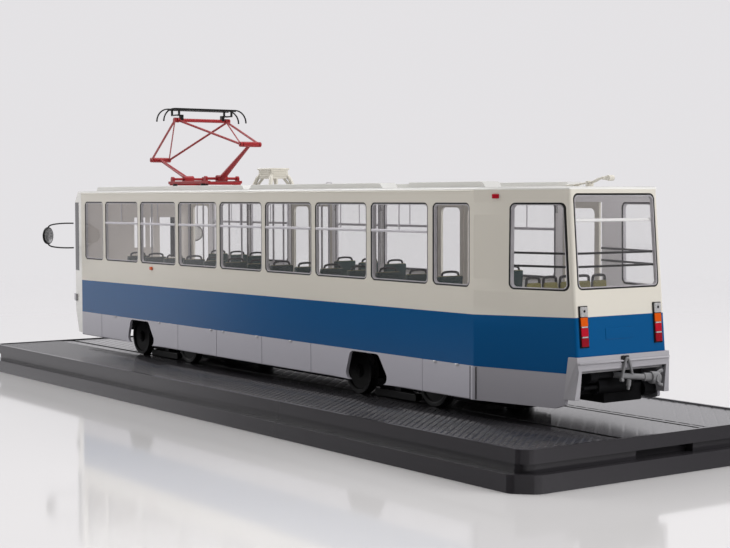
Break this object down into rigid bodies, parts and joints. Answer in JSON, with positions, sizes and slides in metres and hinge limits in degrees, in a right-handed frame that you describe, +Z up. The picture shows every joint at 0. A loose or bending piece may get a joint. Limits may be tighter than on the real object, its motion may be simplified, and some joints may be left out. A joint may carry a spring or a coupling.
{
  "type": "tram display model on a plinth",
  "caption": "Scale model of a single-car tram on a black display plinth, with a glazed saloon, wheelsets that turn and a pantograph that folds onto the roof.",
  "frame": {"origin": "middle of the underside of the plinth", "axes": "+X towards the driver's end, +Y towards the side without doors, +Z up"},
  "size_m": [0.3984, 0.1196, 0.1235],
  "materials": {
    "plinth_black": "satin black moulded plastic",
    "steel": "blackened steel with a brighter tread",
    "underframe_black": "matt black plastic",
    "cream_paint": "satin cream paint",
    "blue_paint": "satin blue paint",
    "grey_paint": "satin light grey paint",
    "white_paint": "satin white paint",
    "black_gloss": "gloss black plastic",
    "window_glass": "clear plastic",
    "rubber": "matt black",
    "light_metal": "satin light metal",
    "seat_green": "matt olive green plastic",
    "dark_metal": "black paint",
    "panto_red": "satin red paint",
    "red_lens": "red lens",
    "orange_lens": "orange lens",
    "clear_lens": "silvered clear lens"
  },
  "bodies": {
    "tram": {"belt_left": "blue_paint", "belt_rear": "blue_paint", "belt_right": "blue_paint", "bogie_front": "underframe_black", "bogie_rear": "underframe_black", "cab_partition": "white_paint", "clear_lenses": "clear_lens", "corner_posts": "black_gloss", "door_glass": "window_glass", "door_steps": "underframe_black", "doors": "cream_paint", "driver_desk": "dark_metal", "floor_pan": "underframe_black", "front_bumper": "grey_paint", "front_mask": "white_paint", "glazing_left": "window_glass", "glazing_rear": "window_glass", "glazing_right": "window_glass", "mirrors": "light_metal", "orange_lenses": "orange_lens", "panto_base": "panto_red", "panto_feet": "dark_metal", "plinth_deck": "plinth_black", "plinth_tray": "plinth_black", "rear_bumper": "grey_paint", "rear_coupler": "light_metal", "rear_wall": "cream_paint", "red_lenses": "red_lens", "roof_aerial": "dark_metal", "roof_box": "cream_paint", "roof_ducts": "cream_paint", "roof_shell": "cream_paint", "seats": "seat_green", "side_wall_left": "cream_paint", "side_wall_right": "cream_paint", "skirt_left": "grey_paint", "skirt_right": "grey_paint", "skirt_tail": "grey_paint", "stanchions": "light_metal", "tail_corner_left": "cream_paint", "tail_corner_right": "cream_paint", "tail_lamp_cases": "black_gloss", "track_brakes": "underframe_black", "underfloor_boxes": "underframe_black", "vent_bars": "light_metal", "window_gaskets": "rubber", "window_rails": "dark_metal", "windscreen": "window_glass"},
    "wheelset_1": {"wheelset_1": "steel"},
    "wheelset_2": {"wheelset_2": "steel"},
    "wheelset_3": {"wheelset_3": "steel"},
    "wheelset_4": {"wheelset_4": "steel"},
    "pantograph_lower_rear": {"panto_lower_rear": "panto_red"},
    "pantograph_upper_rear": {"panto_upper_rear": "panto_red"},
    "pantograph_head": {"panto_head_tube": "panto_red", "panto_collector": "dark_metal"},
    "pantograph_lower_front": {"panto_lower_front": "panto_red"},
    "pantograph_upper_front": {"panto_upper_front": "panto_red"}
  },
  "joints": [
    {"name": "wheelset_1_turn", "type": "hinge", "parent": "tram", "child": "wheelset_1", "pos_m": [0.1124, 0, 0.0203], "axis": [0, 1, 0], "continuous": true},
    {"name": "wheelset_2_turn", "type": "hinge", "parent": "tram", "child": "wheelset_2", "pos_m": [0.0674, 0, 0.0203], "axis": [0, 1, 0], "continuous": true},
    {"name": "wheelset_3_turn", "type": "hinge", "parent": "tram", "child": "wheelset_3", "pos_m": [-0.062, 0, 0.0203], "axis": [0, 1, 0], "continuous": true},
    {"name": "wheelset_4_turn", "type": "hinge", "parent": "tram", "child": "wheelset_4", "pos_m": [-0.107, 0, 0.0203], "axis": [0, 1, 0], "continuous": true},
    {"name": "pantograph_fold", "type": "hinge", "parent": "tram", "child": "pantograph_lower_rear", "pos_m": [0.0723, 0, 0.0921], "axis": [0, -1, 0], "range_deg": [-12, 21]},
    {"name": "rear_knuckle", "type": "hinge", "parent": "pantograph_lower_rear", "child": "pantograph_upper_rear", "pos_m": [0.04745, 0, 0.10645], "axis": [0, 1, 0], "range_deg": [-18.33, 32]},
    {"name": "head_level", "type": "hinge", "parent": "pantograph_upper_rear", "child": "pantograph_head", "pos_m": [0.08961, 0, 0.1183], "axis": [0, -1, 0], "range_deg": [-6.33, 11]},
    {"name": "front_lower_fold", "type": "hinge", "parent": "tram", "child": "pantograph_lower_front", "pos_m": [0.1029, 0, 0.0921], "axis": [0, 1, 0], "range_deg": [-5.81, 10.1]},
    {"name": "front_knuckle", "type": "hinge", "parent": "pantograph_lower_front", "child": "pantograph_upper_front", "pos_m": [0.13004, 0, 0.10144], "axis": [0, -1, 0], "range_deg": [-16.01, 27.94]}
  ],
  "couplings": [
    {"joint": "rear_knuckle", "follows": "pantograph_fold", "ratio": 1.5193},
    {"joint": "head_level", "follows": "pantograph_fold", "ratio": 0.51927},
    {"joint": "front_lower_fold", "follows": "pantograph_fold", "ratio": 0.47619},
    {"joint": "front_knuckle", "follows": "pantograph_fold", "ratio": 1.3258}
  ]
}
